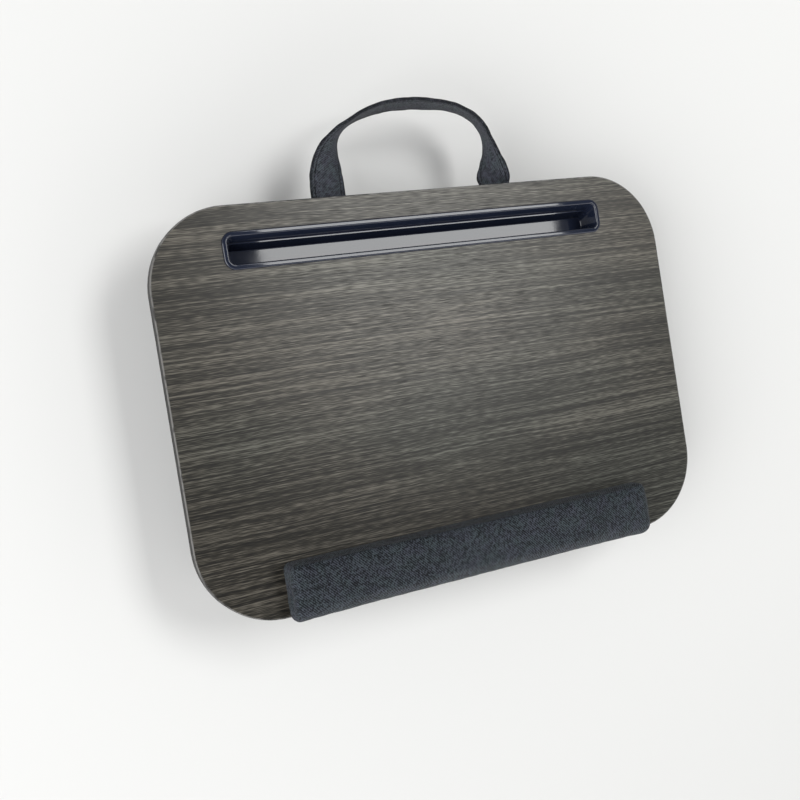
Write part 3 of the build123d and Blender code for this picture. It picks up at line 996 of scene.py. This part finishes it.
@dataclass
class WristRest(SoftPart):
    """Upholstered bar along the front edge, with its padding."""

    length: float = 314 * MM
    rear: float = -110 * MM
    width: float = 43.5 * MM
    floor: float = 60 * MM
    height: float = 22 * MM
    front_drop: float = 5 * MM
    rear_bottom_round: float = 1.5 * MM
    rear_top_round: float = 1.8 * MM
    front_top_round: float = 12 * MM
    front_bottom_round: float = 4 * MM
    end_round: float = 5 * MM
    end_places: tuple[float, ...] = (0.0, 0.2, 0.42, 0.7, 1.0)
    crown: float = 0.9 * MM
    face_waver: float = 0.7 * MM
    top_waver: float = 0.6 * MM
    pleat: float = 0.6 * MM
    tuck: float = 5 * MM
    waver_cells: Triple = (28, 45, 45)
    pleat_cells: Triple = (60, 260, 260)
    step: float = 3.2 * MM
    cover_gap: float = 1.2 * MM
    strip_top: float = 64.9 * MM
    plumping: Plumping = Plumping(5.0, 0.003, 1.2 * MM)

    def _section(self, bench: Bench) -> None:
        """Draw the bar's section upright, with a radius of its own at each corner.

        Args:
            bench: where the bar is made.
        """
        middle_y = self.rear - self.width / 2
        front = self.rear - self.width + MM
        top = self.floor + self.height - MM
        low = self.floor + self.height / 4
        bench.start(bpy.ops.mesh.primitive_plane_add, (self.width, self.height, 1.0))
        bench.stand_up((-self.length / 2, middle_y, self.floor + self.height / 2))
        bench.pick(Element.POINT, lambda p: p.y < middle_y and p.z > top)
        bpy.ops.transform.translate(value=(0.0, 0.0, -self.front_drop))
        bench.round_corner(lambda p: p.y > middle_y and p.z < low, self.rear_bottom_round, 3)
        bench.round_corner(lambda p: p.y > self.rear - MM and p.z > top, self.rear_top_round, 5)
        bench.round_corner(lambda p: p.y < front and p.z > low, self.front_top_round, 8)
        bench.round_corner(lambda p: p.y < front and p.z < low, self.front_bottom_round, 4)
        bench.divide_outline(self.step)

    def _stations(self) -> list[tuple[float, float]]:
        """Divide the bar's length.

        Returns:
            Each place along it, with the section's inset there.
        """
        half = self.length / 2
        start = sorted(
            (-half + self.end_round * (1 - cos(t * pi / 2)), self.end_round * (1 - sin(t * pi / 2)))
            for t in self.end_places
        )
        inner = half - self.end_round
        count = round(2 * inner / self.step)
        straight = [(-inner + 2 * inner * i / count, 0.0) for i in range(1, count)]
        end = [(-x, inset) for x, inset in reversed(start)]
        return start + straight + end

    def _scale(self, inset: float) -> tuple[float, float]:
        """Width and height of an inset section, as shares of the full one."""
        return 1 - 2 * inset / self.width, 1 - 0.8 * inset / self.height

    def _shell(self) -> Piece:
        """Run the section along the bar, with rounded ends.

        Returns:
            The closed cover.
        """
        bench = Bench("wrist_rest_upholstery")
        self._section(bench)
        stations = self._stations()
        middle_y = self.rear - self.width / 2
        wide, tall = self._scale(stations[0][1])
        bpy.ops.mesh.select_all(action="SELECT")
        bpy.ops.transform.resize(value=(1.0, wide, tall), center_override=(0.0, middle_y, self.floor))
        for (x, inset), (next_x, next_inset) in zip(stations, stations[1:]):
            wide, tall = self._scale(inset)
            next_wide, next_tall = self._scale(next_inset)
            scale = (1.0, next_wide / wide, next_tall / tall)
            bench.lift((next_x - x, 0.0, 0.0), scale, (0.0, middle_y, self.floor))
        for side in (-1, 1):
            found = bench.pick(Element.FACE, lambda p: abs(p.x - side * self.length / 2) < NEAR)
            if found:
                bench.draw_in(3, 0.25, (side * self.length / 2, middle_y, self.floor + self.height / 2))
        return bench.close()

    def _shape(self, piece: Piece) -> None:
        """Crown the top, tuck the ends and let the long faces waver a little.

        Args:
            piece: the cover.
        """
        points = points_of(piece)
        half = self.length / 2
        for point in points:
            rise = (point[2] - self.floor) / self.height
            back = within((self.rear - point[1]) / self.width)
            top = ease(rise, 0.55, 0.9)
            point[2] += top * self.crown * sin(pi * back)
            spot = Vector(point * self.waver_cells)
            point[1] += noise.noise(spot) * self.face_waver * ease(rise, 0.15, 0.6)
            point[2] += noise.noise(spot + Vector((9.0, 4.0, 2.0))) * self.top_waver * top
            near_end = ease(abs(point[0]), half - 16 * MM, half)
            pleat = noise.noise(Vector(point * self.pleat_cells))
            point[0] += np.sign(point[0]) * pleat * self.pleat * near_end
            point[0] -= self.tuck * ease(point[0], half - 14 * MM, half) * top * (1 - back)
        move_points(piece, points)

    def _chart(self, spots: np.ndarray, normals: np.ndarray) -> np.ndarray:
        """Lay the cloth flat on the side that each face looks to, with the sides well apart.

        Args:
            spots: the face corners' points.
            normals: their faces' normals.

        Returns:
            u and v of each corner.
        """
        side = np.argmax(np.abs(normals), axis=1)
        u = np.choose(side, [spots[:, 1] + 3.0, spots[:, 0] + 5.0, spots[:, 0]])
        v = np.choose(side, [spots[:, 2], spots[:, 2], spots[:, 1]])
        return np.stack([u, v], axis=1)

    def build(self) -> list[Piece]:
        """Make the cover and its padding.

        Returns:
            Both pieces.
        """
        cover = self._shell()
        self._shape(cover)
        self.plumping.fill(cover, lambda p: 1.0 - ease(p.z, self.floor + MM, self.floor + 5 * MM))
        finish_with(cover, "SUBSURF", levels=1, render_levels=1)
        weave_chart(cover, self._chart)
        smooth(cover, CLOTH_ANGLE)
        self.dress(cover, Slot.MELANGE, "wrist_rest_cover", fill=0.85)
        end = self.length / 2 - 2 * self.cover_gap
        cuts = [(2, self.strip_top, 1), (0, -end, 1), (0, end, -1)]
        padding = cut_padding(cover, "wrist_rest_padding", self.cover_gap, cuts)
        self.dress(padding, Slot.FOAM, "wrist_rest_foam", fill=0.9)
        return [cover, padding]


@dataclass
class Cushion(SoftPart):
    """Filled cushion under the board: cover, top panel, piping, foam, filling and adhesive pads."""

    width: float = 409 * MM
    depth: float = 272 * MM
    height: float = 49 * MM
    corner: float = 46 * MM
    belly: float = 24 * MM
    base_sink: float = 0.5 * MM
    base_draw_in: float = 24 * MM
    top_draw_in: float = 4 * MM
    top_gap: float = 0.4 * MM
    seam: float = 8 * MM
    seam_rings: int = 5
    side_rings: int = 14
    turned_in: Span = (0.992, 0.965)
    step: float = 3.6 * MM
    gather: float = 1.1 * MM
    billow: float = 1.8 * MM
    waist: float = 1.6 * MM
    plumping: Plumping = Plumping(4.0, 0.03, 4 * MM)
    cloth: float = 1.2 * MM
    piping_radius: float = 1.9 * MM
    piping_out: float = 1.2 * MM
    cover_gap: float = 1.5 * MM
    slab_bottom: float = 34.8 * MM
    slab_top: float = 47.6 * MM
    recess_length: float = 327.4 * MM
    recess_width: float = 24.4 * MM
    recess_y: float = 114.2 * MM
    recess_gap: float = 1 * MM
    recess_round: float = 5 * MM
    panel_size: Span = (398.2 * MM, 261.2 * MM)
    panel_round: float = 0.4 * MM
    pad_size: Span = (70 * MM, 24 * MM)
    pad_round: float = 3 * MM

    def _outline(self) -> Outline:
        """The cushion's widest outline."""
        return Outline(self.width, self.depth, self.corner)

    def _level(self, height: float) -> float:
        """Find how far the side is inside the widest outline.

        Args:
            height: height over the base.

        Returns:
            The inset there.
        """
        if height < self.belly:
            rise = 1 - (height + self.base_sink) / (self.belly + self.base_sink)
            return self.base_draw_in * (1 - (1 - rise * rise) ** 0.5)
        rise = (height - self.belly) / (self.height - self.belly)
        return self.top_draw_in * (1 - (1 - rise * rise) ** 0.5)

    def _cover(self) -> Piece:
        """Raise the cover ring by ring from its outline, and close its base.

        Returns:
            The cover, open at the top.
        """
        bench = Bench("cushion_cover")
        rise = self.height - self.top_gap - self.seam
        heights = [self.seam * (i / self.seam_rings) ** 1.3 for i in range(self.seam_rings + 1)]
        heights += [self.seam + rise * (i / self.side_rings) for i in range(1, self.side_rings + 1)]
        base = heights[0]
        first = self._level(base)
        size = (self.width - 2 * first, self.depth - 2 * first, 1.0)
        bench.start(bpy.ops.mesh.primitive_plane_add, size, (0.0, 0.0, base))
        bench.round_corner(lambda p: True, self.corner - first, 10)
        bench.divide_outline(self.step)
        bpy.ops.mesh.delete(type="ONLY_FACE")
        for low, high in zip(heights, heights[1:]):
            shrink_x = (self.width - 2 * self._level(high)) / (self.width - 2 * self._level(low))
            shrink_y = (self.depth - 2 * self._level(high)) / (self.depth - 2 * self._level(low))
            bench.pick_level(low)
            bench.lift((0.0, 0.0, high - low), (shrink_x, shrink_y, 1.0), (0.0, 0.0, 0.0))
        bench.pick_level(heights[-1])
        for share in self.turned_in:
            bench.lift((0.0, 0.0, 0.0), (share, share, 1.0), (0.0, 0.0, 0.0))
        bench.pick_level(base)
        bpy.ops.mesh.edge_face_add()
        bench.draw_in(7, 0.13, (0.0, 0.0, base))
        return bench.close()

    def _wrinkle(self, piece: Piece) -> None:
        """Pull the sides in between the corners and gather the cloth along its seams.

        Args:
            piece: the cover.
        """
        outline = self._outline()
        points = points_of(piece)
        for point, run in zip(points, outline.run(points[:, 0], points[:, 1])):
            share = point[2] / self.height
            side = ease(point[2], 1.5 * MM, 6 * MM) * (1 - ease(point[2], 46 * MM, 49 * MM))
            out = Vector((point[0] / self.width, point[1] / self.depth, 0.0)).normalized()
            corner = ease(abs(point[0]), self.width * 0.28, self.width * 0.5) * ease(
                abs(point[1]), self.depth * 0.2, self.depth * 0.5)
            angle = TURN * run / outline.length()
            ring = Vector((cos(angle), sin(angle), 0.0))
            fold = noise.noise(ring * 30 + Vector((0.0, 0.0, share * 1.6)))
            wave = noise.noise(ring * 5 + Vector((3.0, 1.0, share * 2.4)))
            near_seam = 1 - ease(abs(point[2] - self.seam), 0.0, 13 * MM)
            near_top = ease(point[2], 32 * MM, 46 * MM)
            depth = self.gather * fold * (near_seam + near_top) + self.billow * wave
            depth -= self.waist * (1 - corner)
            point[0] += out.x * depth * side
            point[1] += out.y * depth * side
        move_points(piece, points)

    def _held(self, point: Vector) -> float:
        """How firmly the cloth is held: at the base, the top and the seam."""
        seam = 0.75 if abs(point.z - self.seam) < 0.8 * MM else 0.0
        return max(1.0 - ease(point.z, 0.8 * MM, 2.5 * MM), ease(point.z, 45 * MM, 48 * MM), seam)

    def _chart(self, spots: np.ndarray, normals: np.ndarray) -> np.ndarray:
        """Lay the cloth round the sides, and flat on the base and the top.

        Args:
            spots: the face corners' points.
            normals: their faces' normals.

        Returns:
            u and v of each corner.
        """
        flat = np.abs(normals[:, 2]) > 0.85
        u = np.where(flat, spots[:, 0], self._outline().run(spots[:, 0], spots[:, 1]))
        v = np.where(flat, spots[:, 1], spots[:, 2] * 1.25)
        return np.stack([u, v], axis=1)

    def _piping(self, ring: np.ndarray) -> Piece:
        """Run a cord of cloth along the cover's lower seam.

        Args:
            ring: the seam's points, in any order.

        Returns:
            The piping.
        """
        ring = ring[np.argsort(np.arctan2(ring[:, 1], ring[:, 0]))]
        out = np.stack([ring[:, 0] / self.width, ring[:, 1] / self.depth, np.zeros(len(ring))], axis=1)
        out /= np.linalg.norm(out, axis=1)[:, None]
        line = bpy.data.curves.new("cushion_seam_piping", "CURVE")
        line.dimensions = "3D"
        line.bevel_depth = self.piping_radius
        line.bevel_resolution = 3
        spline = line.splines.new("POLY")
        spline.points.add(len(ring) - 1)
        for spot, place in zip(spline.points, ring + out * self.piping_out):
            spot.co = (*place, 1.0)
        spline.use_cyclic_u = True
        route = add_piece("piping_route", line)
        bpy.context.view_layer.update()
        shown = route.evaluated_get(bpy.context.evaluated_depsgraph_get())
        piece = add_piece("cushion_seam_piping", bpy.data.meshes.new_from_object(shown))
        bpy.data.objects.remove(route)
        weave_chart(piece, self._chart, self._outline().length())
        smooth(piece, CLOTH_ANGLE)
        return piece

    def _cut_recess(self, slab: Piece) -> None:
        """Cut the foam away round the slot tray, with rounded corners.

        Args:
            slab: the foam slab.
        """
        low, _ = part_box("slot_tray")
        bench = Bench("recess")
        size = (self.recess_length, self.recess_width, 2 * (self.slab_top - low.z + self.recess_gap))
        bench.start(bpy.ops.mesh.primitive_cube_add, size, (0.0, self.recess_y, self.slab_top))
        bench.pick_level(self.slab_top)
        bpy.ops.mesh.bevel(offset=self.recess_round, segments=5, affect="EDGES")
        cutter = bench.close()
        finish_with(slab, "BOOLEAN", operation="DIFFERENCE", object=cutter, solver="EXACT")
        bpy.data.objects.remove(cutter)
        smooth(slab)

    def _top_panel(self) -> Piece:
        """Copy the top panel with its opening, and round its edges like cut cloth.

        Returns:
            The panel, which is a sheet.
        """
        piece = add_piece("cushion_lid_panel", bpy.data.objects["cushion_top_panel"].data.copy())
        bpy.context.view_layer.objects.active = piece
        bpy.ops.object.mode_set(mode="EDIT")
        bpy.ops.mesh.select_all(action="SELECT")
        bpy.ops.mesh.remove_doubles(threshold=HAIR)
        bpy.ops.object.mode_set(mode="OBJECT")
        finish_with(piece, "BEVEL", width=self.panel_round, segments=2, limit_method="ANGLE", angle_limit=0.9)
        smooth(piece)
        self.dress(piece, Slot.LINING, "cushion_top_panel")
        weave_chart(piece, lay_flat)
        return piece

    def _tapes(self) -> Piece:
        """Cut the adhesive foam pads and round their corners.

        Returns:
            All the pads as one piece.
        """
        low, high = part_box("cushion_bonding_pads")
        wide, deep = self.pad_size
        step = (high.x - low.x - wide) / 2
        pieces = []
        for column in range(3):
            for y in (low.y + deep / 2, high.y - deep / 2):
                x = low.x + wide / 2 + column * step
                bench = Bench("cushion_adhesive_pads")
                size = (wide, deep, high.z - low.z)
                bench.start(bpy.ops.mesh.primitive_cube_add, size, (x, y, (low.z + high.z) / 2))
                bench.pick(Element.EDGE, lambda p: abs(abs(p.x - x) - wide / 2) < NEAR and
                           abs(abs(p.y - y) - deep / 2) < NEAR)
                bpy.ops.mesh.bevel(offset=self.pad_round, segments=4, affect="EDGES")
                pieces.append(bench.close())
        piece = join(pieces, "cushion_adhesive_pads")
        smooth(piece, angle=0.6)
        return piece

    def build(self) -> list[Piece]:
        """Make every piece of the cushion.

        Returns:
            The pieces, the cover first.
        """
        cover = self._cover()
        seam = np.abs(points_of(cover)[:, 2] - self.seam) < NEAR
        self._wrinkle(cover)
        self.plumping.fill(cover, self._held)
        piping = self._piping(points_of(cover)[seam])
        cuts = [(2, self.cover_gap, 1), (2, self.slab_bottom, -1)]
        fill = cut_padding(cover, "cushion_loose_filling", self.cover_gap, cuts)
        cuts = [(2, self.slab_bottom, 1), (2, self.slab_top, -1)]
        slab = cut_padding(cover, "cushion_slab_foam", self.cover_gap, cuts)
        self._cut_recess(slab)
        finish_with(cover, "SOLIDIFY", thickness=self.cloth, offset=-1.0)
        weave_chart(cover, self._chart, self._outline().length())
        smooth(cover, CLOTH_ANGLE)
        self.dress(cover, Slot.MELANGE, "cushion_side_band", "cushion_bottom_panel", fill=0.75)
        self.dress(piping, Slot.STRAP, "cushion_piping")
        panel = self._top_panel()
        self.dress(slab, Slot.FOAM, "cushion_foam_slab", fill=1.0)
        self.dress(fill, Slot.FILLING, "cushion_filling", fill=0.6)
        tapes = self._tapes()
        self.dress(tapes, Slot.PAD_FOAM, "cushion_bonding_pads", fill=1.0)
        return [cover, piping, panel, slab, fill, tapes]


@dataclass
class StrapHandle:
    """One hemmed fabric strap: both ends under the board and a twisted arch between them."""

    cloth: Material
    thread: Material
    width: float = 28 * MM
    thickness: float = 3 * MM
    left_foot: float = -71.7 * MM
    right_foot: float = 73.9 * MM
    tab_start: float = 133.2 * MM
    fold: float = 153 * MM
    top_x: float = 8 * MM
    top_y: float = 220.2 * MM
    height: float = 48.5 * MM
    left_run: float = 51.1 * MM
    right_run: float = 30.1 * MM
    top_run_left: float = 45.8 * MM
    top_run_right: float = 78.9 * MM
    left_twist: Triple = (3.8 * MM, 65.5 * MM, 1.72)
    right_twist: Triple = (0.0, 43.8 * MM, 0.8)
    upright: float = 1.52
    overturn: float = 0.366
    overturn_place: float = 43.3 * MM
    overturn_run: float = 46.2 * MM
    right_width_share: float = 0.9
    foot_run: float = 18 * MM
    columns: tuple[float, ...] = (0.0, 0.7, 1.7, 2.4, 3.0, 3.6, 5.0, 8.0, 11.0, 14.0)
    steps: int = 150
    wave: float = 0.55 * MM
    crease: float = 0.35 * MM
    sway: float = 0.6 * MM
    crumple: float = 0.9 * MM
    stitch_size: Triple = (1.25 * MM, 0.24 * MM, 0.2 * MM)
    stitch_inset: float = 3.0 * MM
    stitch_pitch: float = 3.6 * MM
    stitch_lift: float = 0.76
    blend_from: float = 150 * MM
    blend_to: float = 156 * MM

    def _route(self) -> Piece:
        """Draw the strap's centre line: out from under the board, round the arch and back.

        Returns:
            The curve.
        """
        bpy.ops.object.select_all(action="DESELECT")
        bpy.ops.curve.primitive_bezier_curve_add()
        route = bpy.context.active_object
        route.name = "strap_route"
        route.data.resolution_u = 48
        spline = route.data.splines[0]
        spline.bezier_points.add(3)
        stem = (self.fold - self.tab_start) / 3
        corners = [
            ((self.left_foot, self.tab_start), stem, stem, (0.0, 1.0)),
            ((self.left_foot, self.fold), stem, self.left_run, (0.0, 1.0)),
            ((self.top_x, self.top_y), self.top_run_left, self.top_run_right, (1.0, 0.0)),
            ((self.right_foot, self.fold), self.right_run, stem, (0.0, -1.0)),
            ((self.right_foot, self.tab_start), stem, stem, (0.0, -1.0)),
        ]
        for point, (place, before, after, heading) in zip(spline.bezier_points, corners):
            way = Vector((*heading, 0.0))
            point.handle_left_type = point.handle_right_type = "FREE"
            point.co = Vector((*place, self.height))
            point.handle_left = point.co - way * before
            point.handle_right = point.co + way * after
        bpy.context.view_layer.update()
        return route

    def _twist(self, points: np.ndarray, length: float) -> np.ndarray:
        """Turn the straight strap about its middle line, a quarter turn at the top of the arch.

        Args:
            points: points of the straight strap.
            length: its length.

        Returns:
            The turned points.
        """
        stem = self.fold - self.tab_start
        end = length - stem
        turned = points.copy()
        for point in turned:
            left = swell(point[0] - stem, *self.left_twist)
            right = swell(end - point[0], *self.right_twist)
            off = (end - point[0] - self.overturn_place) / self.overturn_run
            lean = min(left, right) * (self.upright + self.overturn * exp(-off * off))
            waist = ease(point[0], stem, end - self.foot_run) * (1 - ease(point[0], end - self.foot_run, end))
            narrow = 1 - (1 - self.right_width_share) * waist
            y, z = point[1] * narrow, point[2]
            point[1] = y * cos(lean) - z * sin(lean)
            point[2] = y * sin(lean) + z * cos(lean)
        return turned

    def _waver(self, point: np.ndarray, length: float) -> float:
        """Move a point of the straight strap as worn cloth lies, in waves and creases.

        Args:
            point: the point, which is changed.
            length: the strap's length.

        Returns:
            0 on the strap's ends and 1 on its arch.
        """
        arch = ease(point[0], 24 * MM, 40 * MM) * (1 - ease(point[0], length - 40 * MM, length - 24 * MM))
        wave = Vector((point[0] * 55, point[1] * 40, 1.0))
        crease = Vector((point[0] * 130 + point[1] * 110, point[1] * 30, 7.0))
        point[2] += noise.noise(wave) * self.wave * arch
        point[2] += noise.noise(crease) * self.crease * arch
        point[1] += noise.noise(Vector((point[0] * 70, 3.0, np.sign(point[1])))) * self.sway * arch
        return arch

    def _strip(self, length: float) -> Piece:
        """Make the straight strap with its hems, stitch grooves and soft waves.

        Args:
            length: its length.

        Returns:
            The strap along X.
        """
        bench = Bench("strap_webbing")
        across = 2 * (len(self.columns) - 1)
        bench.start(bpy.ops.mesh.primitive_grid_add, (length, self.width, 1.0), (length / 2, 0.0, 0.0),
                    x_subdivisions=self.steps, y_subdivisions=across)
        piece = bench.close()
        points = points_of(piece)
        half = self.width / 2
        rows = np.array(self.columns) * MM
        offsets = np.concatenate([-half + rows, (half - rows)[::-1][1:]])
        index = np.round((points[:, 1] + half) / (self.width / across)).astype(int)
        points[:, 1] = offsets[index]
        move_points(piece, points)
        finish_with(piece, "SOLIDIFY", thickness=self.thickness, offset=0.0)
        points = points_of(piece)
        for point in points:
            from_edge = half - abs(point[1])
            edge = 1 - ease(from_edge, 0.0, 1.3 * MM)
            groove = max(0.0, 1 - abs(from_edge - self.stitch_inset) / (0.9 * MM))
            point[2] *= 1 - 0.55 * edge - 0.30 * groove - 0.10 * ease(from_edge, 3 * MM, 6 * MM)
            arch = self._waver(point, length)
            hem = ease(abs(point[1]), half - 6 * MM, half)
            crumple = noise.noise(Vector((point[0] * 190, 5.0, np.sign(point[1]))))
            point[1] += crumple * self.crumple * arch * hem
        move_points(piece, points)
        weave_chart(piece, lay_flat)
        return piece

    def _stitches(self, length: float) -> Piece:
        """Sew two rows of stitches on each face of the straight strap.

        Args:
            length: the strap's length.

        Returns:
            The stitches as one piece.
        """
        bpy.ops.object.select_all(action="DESELECT")
        bpy.ops.mesh.primitive_uv_sphere_add(segments=8, ring_count=5, radius=1.0)
        stitch = bpy.context.active_object
        stitch.name = "strap_stitching"
        bpy.ops.object.mode_set(mode="EDIT")
        bpy.ops.mesh.select_all(action="SELECT")
        bpy.ops.transform.resize(value=self.stitch_size, center_override=(0, 0, 0))
        bpy.ops.object.mode_set(mode="OBJECT")
        count = int(length / self.stitch_pitch) - 2
        finish_with(stitch, "ARRAY", count=count, use_relative_offset=False, use_constant_offset=True,
                    constant_offset_displace=(self.stitch_pitch, 0.0, 0.0))
        rows = points_of(stitch)
        rows[:, 0] += (length - (count - 1) * self.stitch_pitch) / 2
        inset = self.width / 2 - self.stitch_inset
        lift = self.thickness / 2 * self.stitch_lift
        pieces = []
        for side in (-1, 1):
            for face in (-1, 1):
                copy = add_piece("strap_stitching", stitch.data.copy())
                moved = rows + np.array([0.0, side * inset, face * lift])
                for point in moved:
                    self._waver(point, length)
                move_points(copy, moved)
                pieces.append(copy)
        bpy.data.objects.remove(stitch)
        return join(pieces, "strap_stitching")

    def build(self) -> list[Piece]:
        """Make the strap and its stitching, and bend both along the arch.

        Returns:
            Both pieces.
        """
        route = self._route()
        length = route.data.splines[0].calc_length()
        strap = self._strip(length)
        stitches = self._stitches(length)
        for piece in (strap, stitches):
            move_points(piece, self._twist(points_of(piece), length))
            finish_with(piece, "CURVE", object=route, deform_axis="POS_X")
            smooth(piece, angle=1.1)
        finish_with(strap, "SUBSURF", levels=1, render_levels=1)
        smooth(strap, angle=1.1)
        bpy.data.objects.remove(route)
        self.dress(strap, stitches)
        return [strap, stitches]

    def dress(self, strap: Piece, stitches: Piece) -> None:
        """Finish both pieces, hide the CAD strap nodes and bake the pieces' transforms.

        Args:
            strap: the strap.
            stitches: its stitching.
        """
        paint(strap, self.cloth)
        paint(stitches, self.thread)
        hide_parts("strap_loop", "strap_tab_left", "strap_tab_right")
        for piece in (strap, stitches):
            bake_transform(piece)


@dataclass
class Board:
    """The rigid CAD pieces, which keep their shape and get their finish."""

    finishes: dict[str, Material]

    def dress(self, nodes: dict[str, Piece]) -> list[Piece]:
        """Give each rigid node its material.

        Args:
            nodes: the CAD nodes by name.

        Returns:
            The nodes that got one.
        """
        for name, material in self.finishes.items():
            paint(nodes[name], material)
        return [nodes[name] for name in self.finishes]


@dataclass(frozen=True)
class LightCard:
    """A soft rectangular light that faces a point."""

    name: str
    size: Span
    place: Triple
    aim: Triple
    power: float
    colour: Colour = (1.0, 1.0, 1.0)

    def hang(self) -> None:
        """Put the light in its place."""
        data = bpy.data.lights.new(self.name, "AREA")
        data.shape = "RECTANGLE"
        data.size, data.size_y = self.size
        data.energy = self.power
        data.color = self.colour
        light = add_piece(self.name, data)
        way = Vector(self.place) - Vector(self.aim)
        light.rotation_euler = way.to_track_quat("Z", "Y").to_euler()
        light.location = self.place


@dataclass
class Studio:
    """Floor, lights and the camera at the photograph's viewing angle."""

    floor_size: float = 14.0
    floor_colour: Colour = (0.80, 0.80, 0.79)
    eye: Triple = (-0.3547, 0.0118, 0.7568)
    right: Triple = (0.90056, -0.15811, 0.40495)
    up: Triple = (0.15527, 0.98706, 0.04010)
    back: Triple = (-0.40605, 0.02676, 0.91346)
    lens: float = 45.0
    sensor: float = 36.0
    sky: Stops = ((0.25, (1.32, 1.31, 1.29)), (0.80, (0.11, 0.115, 0.125)))
    front_share: float = 0.8
    cards: tuple[LightCard, ...] = (
        LightCard("window_card", (1.20, 1.7), (1.27, 0.76, 2.6), (1.27, 0.76, 0.0), 44.0,
                  (0.98, 0.985, 0.975)),
        LightCard("fill_card", (2.0, 2.0), (-2.0, -0.3, 1.3), (0.0, 0.0, 0.0), 44.0),
    )

    def _stand_camera(self) -> None:
        """Stand the camera where the photograph was taken."""
        data = bpy.data.cameras.new("camera")
        data.lens = self.lens
        data.sensor_width = self.sensor
        data.clip_start = 10 * MM
        camera = add_piece("camera", data)
        turn = Matrix((self.right, self.up, self.back)).transposed()
        camera.matrix_world = Matrix.Translation(self.eye) @ turn.to_4x4()
        bpy.context.scene.camera = camera

    def _lay_floor(self) -> None:
        """Lay the pale floor."""
        bpy.ops.object.select_all(action="DESELECT")
        bpy.ops.mesh.primitive_plane_add(size=self.floor_size)
        floor = bpy.context.active_object
        floor.name = "studio_floor"
        g = surface("studio_floor")
        paint(floor, g.finish(Base_Color=self.floor_colour, Roughness=0.75, Specular_IOR_Level=0.2))

    def build(self) -> None:
        """Set up the whole studio."""
        scene = bpy.context.scene
        scene.view_settings.view_transform = "Standard"
        sky = Graph(bpy.data.worlds.new("studio"), "ShaderNodeBackground", "ShaderNodeOutputWorld")
        _, y, z = sky.axes(sky.place(Chart.SKY))
        scene.world = sky.finish(Color=sky.ramp(z, self.sky), Strength=1.0 - y * self.front_share)
        self._lay_floor()
        for card in self.cards:
            card.hang()
        self._stand_camera()


def main() -> None:
    """Build every sub-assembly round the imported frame."""
    logging.basicConfig(level=logging.INFO, format="%(asctime)s %(name)s: %(message)s")
    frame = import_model()
    bpy.ops.object.select_all(action="DESELECT")
    Studio().build()
    finishes = {
        Slot.MELANGE: Weave("melange_cloth", (0.003, 0.004, 0.006), (0.050, 0.060, 0.070),
                            pitch=1.05 * MM, melange=1.1, twill=0.65).make(),
        Slot.STRAP: Weave("strap_cloth", (0.006, 0.007, 0.009), (0.080, 0.088, 0.103),
                          depth=0.2 * MM, melange=0.7, hem=10.6 * MM, twill=0.4).make(),
        Slot.LINING: Weave("lining_cloth", (0.006, 0.006, 0.007), (0.03, 0.03, 0.034),
                           pitch=0.6 * MM, depth=0.1 * MM, melange=0.4).make(),
        Slot.FOAM: Foam("upholstery_foam", (0.72, 0.68, 0.58), (0.42, 0.38, 0.30)).make(),
        Slot.FILLING: Foam("loose_filling", (0.80, 0.80, 0.77), (0.52, 0.52, 0.50), 420.0).make(),
        Slot.PAD_FOAM: Foam("foam_tape", (0.03, 0.03, 0.032), (0.008, 0.008, 0.009), 1800.0).make(),
    }
    thread = Moulding("sewing_thread", (0.045, 0.048, 0.056), (0.07, 0.074, 0.084), 0.7).make()
    backing = Moulding("backing_laminate", (0.014, 0.014, 0.014), (0.022, 0.022, 0.022), 0.6).make()
    gloss = Moulding("gloss_black", (0.012, 0.016, 0.031), (0.014, 0.018, 0.034), 0.045, spread=0.03,
                     cells=260.0, depth=0.006 * MM, specular=0.6).make()
    fibreboard = Fibreboard().make()
    steel = PlatedSteel().make()
    board = Board({
        "board_core": fibreboard, "board_top_laminate": Woodgrain().make(), "board_back_laminate": backing,
        "board_edge_band": Edging().make(), "slot_tray": gloss, "wrist_rest_strip": fibreboard,
        "wrist_rest_screws": steel, "strap_plate_left": steel, "strap_plate_right": steel,
        "strap_screws": steel,
    })
    made = board.dress(frame["nodes"])
    made += WristRest(finishes).build()
    made += StrapHandle(finishes[Slot.STRAP], thread).build()
    made += Cushion(finishes).build()
    for piece in made:
        log.info("%s: %d faces", piece.name, len(piece.data.polygons))


if __name__ == "__main__":
    main()
